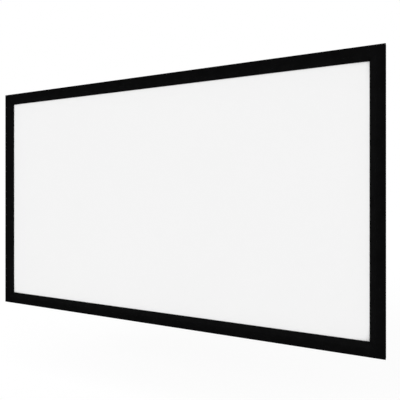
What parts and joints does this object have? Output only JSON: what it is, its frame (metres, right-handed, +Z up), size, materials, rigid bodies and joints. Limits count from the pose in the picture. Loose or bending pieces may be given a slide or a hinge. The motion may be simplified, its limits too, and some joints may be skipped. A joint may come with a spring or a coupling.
{
  "type": "fixed frame projector screen",
  "caption": "Wall-hung projection screen: a white cloth stretched flat by rods and springs inside a beveled, velvet-wrapped aluminium frame.",
  "frame": {"origin": "middle of the whole: half way across, half way up, and half way from the velvet's front face to the wall", "axes": "+X to the right as seen from the front, +Y towards the wall with the picture facing -Y, +Z up"},
  "size_m": [2.816, 0.043, 1.654],
  "materials": {
    "velvet": "short black pile, very matte",
    "extruded_aluminium": "mill finish with faint drawing lines along the bar",
    "zinc_steel": "bright zinc plate on pressed steel",
    "screen_cloth": "matt white coated front, black back",
    "fibreglass": "pale satin drawn rod"
  },
  "bodies": {
    "root": {"bar_top_left": "extruded_aluminium", "velvet_top_left": "velvet", "rod_with_springs_top_left": "fibreglass", "bar_top_right": "extruded_aluminium", "velvet_top_right": "velvet", "rod_with_springs_top_right": "fibreglass", "bar_bottom_left": "extruded_aluminium", "velvet_bottom_left": "velvet", "rod_with_springs_bottom_left": "fibreglass", "bar_bottom_right": "extruded_aluminium", "velvet_bottom_right": "velvet", "rod_with_springs_bottom_right": "fibreglass", "bar_left": "extruded_aluminium", "velvet_left": "velvet", "rod_with_springs_left": "fibreglass", "bar_right": "extruded_aluminium", "velvet_right": "velvet", "rod_with_springs_right": "fibreglass", "elbow_top_left_outer": "zinc_steel", "elbow_top_left_inner": "zinc_steel", "elbow_top_right_outer": "zinc_steel", "elbow_top_right_inner": "zinc_steel", "elbow_bottom_left_outer": "zinc_steel", "elbow_bottom_left_inner": "zinc_steel", "elbow_bottom_right_outer": "zinc_steel", "elbow_bottom_right_inner": "zinc_steel", "splice_top_outer": "zinc_steel", "splice_top_inner": "zinc_steel", "upright_strap_top": "zinc_steel", "splice_bottom_outer": "zinc_steel", "splice_bottom_inner": "zinc_steel", "upright_strap_bottom": "zinc_steel", "upright_bar": "extruded_aluminium", "screen_cloth": "screen_cloth", "wall_bracket_top_left": "zinc_steel", "wall_bracket_top_right": "zinc_steel", "wall_bracket_bottom_left": "zinc_steel", "wall_bracket_bottom_right": "zinc_steel"}
  },
  "joints": []
}
